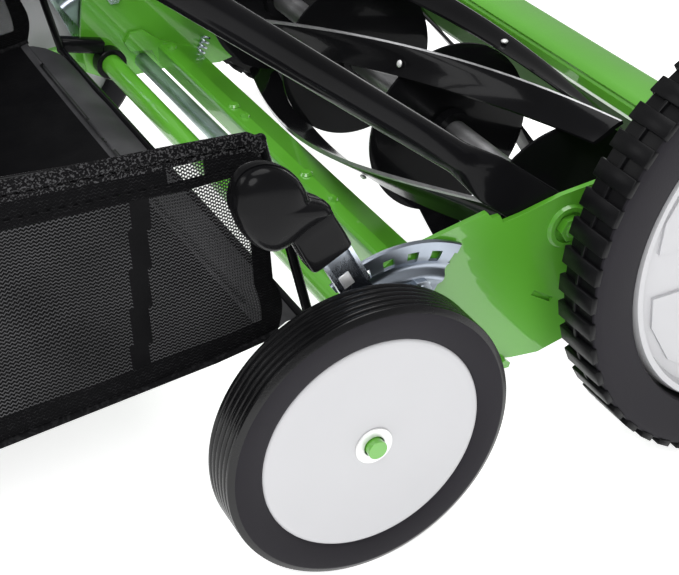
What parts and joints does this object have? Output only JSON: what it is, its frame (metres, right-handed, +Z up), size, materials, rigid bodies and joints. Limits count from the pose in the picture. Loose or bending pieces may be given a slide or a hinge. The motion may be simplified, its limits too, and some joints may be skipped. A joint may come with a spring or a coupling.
{
  "type": "reel mower",
  "caption": "Push reel mower: geared drive wheels spin a helical blade reel against a bed knife, with rear wheels, height lever, folding handle and mesh grass catcher.",
  "frame": {"origin": "centre of the overall box, on the floor under the mower", "axes": "+X forwards in the direction of mowing, +Y to the mower's left, +Z up"},
  "size_m": [1.1364, 0.5452, 0.8683],
  "materials": {
    "green_paint": "gloss",
    "black_paint": "gloss",
    "zinc": "bright zinc plate",
    "steel": "ground",
    "hub_plastic": "satin",
    "black_plastic": "gloss",
    "tyre": "matte",
    "foam": "matte",
    "mesh": "woven"
  },
  "bodies": {
    "chassis": {"plate_right": "green_paint", "plate_left": "green_paint", "shroud": "green_paint", "tie_rod": "zinc", "quadrant_right": "zinc", "quadrant_left": "zinc", "quadrant_bolt_right": "zinc", "quadrant_bolt_left": "zinc", "axle_right": "zinc", "axle_left": "zinc", "bearing_right": "steel", "bearing_left": "steel", "spring_right": "zinc", "spring_left": "zinc", "pivot_bolt_right": "zinc", "pivot_bolt_left": "zinc"},
    "bed": {"bed_bar": "green_paint", "bed_knife": "steel", "knife_screw_1": "zinc", "knife_screw_2": "zinc", "knife_screw_3": "zinc"},
    "reel": {"reel_shaft": "steel", "spider_1": "black_paint", "spider_2": "black_paint", "spider_3": "black_paint", "spider_4": "black_paint", "blade_1": "black_paint", "blade_2": "black_paint", "blade_3": "black_paint", "blade_4": "black_paint", "blade_5": "black_paint", "pinion_right": "steel", "pinion_left": "steel"},
    "drive_wheel_right": {"wheel_right": "hub_plastic", "tyre_right": "tyre"},
    "drive_wheel_left": {"wheel_left": "hub_plastic", "tyre_left": "tyre"},
    "height_crank": {"crank": "green_paint", "lever_right": "zinc", "lever_left": "zinc", "knob_right": "black_plastic", "knob_left": "black_plastic", "rear_washer_right": "zinc", "rear_washer_left": "zinc"},
    "rear_wheel_right": {"rear_disc_right": "hub_plastic", "rear_tyre_right": "tyre"},
    "rear_wheel_left": {"rear_disc_left": "hub_plastic", "rear_tyre_left": "tyre"},
    "lower_handle": {"lower_bar_right": "black_paint", "lower_bar_left": "black_paint", "fold_knob_right": "black_plastic", "fold_knob_left": "black_plastic"},
    "upper_handle": {"upper_handle": "black_paint", "grip": "foam"},
    "catcher": {"catcher_bag": "mesh", "catcher_frame": "black_paint", "hook_right": "black_plastic", "hook_left": "black_plastic"}
  },
  "joints": [
    {"name": "drive_wheel_right_spin", "type": "hinge", "parent": "chassis", "child": "drive_wheel_right", "pos_m": [0.44148, -0.2588, 0.127], "axis": [0, 1, 0], "continuous": true},
    {"name": "drive_wheel_left_spin", "type": "hinge", "parent": "chassis", "child": "drive_wheel_left", "pos_m": [0.44148, 0.2588, 0.127], "axis": [0, 1, 0], "continuous": true},
    {"name": "reel_spin", "type": "hinge", "parent": "chassis", "child": "reel", "pos_m": [0.36547, 0, 0.115], "axis": [0, 1, 0], "continuous": true},
    {"name": "bed_adjust", "type": "hinge", "parent": "chassis", "child": "bed", "pos_m": [0.26448, 0, 0.09], "axis": [0, 1, 0], "range_deg": [0, 2.5], "deforming": ["spring_right", "spring_left"]},
    {"name": "height_adjust", "type": "hinge", "parent": "chassis", "child": "height_crank", "pos_m": [0.24247, 0, 0.08], "axis": [0, 1, 0], "range_deg": [-10, 12]},
    {"name": "rear_wheel_right_spin", "type": "hinge", "parent": "height_crank", "child": "rear_wheel_right", "pos_m": [0.20287, -0.248, 0.076], "axis": [0, 1, 0], "continuous": true},
    {"name": "rear_wheel_left_spin", "type": "hinge", "parent": "height_crank", "child": "rear_wheel_left", "pos_m": [0.20287, 0.248, 0.076], "axis": [0, 1, 0], "continuous": true},
    {"name": "handle_tilt", "type": "hinge", "parent": "chassis", "child": "lower_handle", "pos_m": [0.34247, 0, 0.13357], "axis": [0, 1, 0], "range_deg": [-4, 45]},
    {"name": "handle_fold", "type": "hinge", "parent": "lower_handle", "child": "upper_handle", "pos_m": [-0.05519, 0, 0.4533], "axis": [0, 1, 0], "range_deg": [0, 150]},
    {"name": "catcher_lift", "type": "hinge", "parent": "chassis", "child": "catcher", "pos_m": [0.24247, 0, 0.08], "axis": [0, 1, 0], "range_deg": [0, 8]}
  ],
  "couplings": [
    {"joint": "drive_wheel_left_spin", "follows": "drive_wheel_right_spin", "ratio": 1},
    {"joint": "reel_spin", "follows": "drive_wheel_right_spin", "ratio": 6}
  ]
}
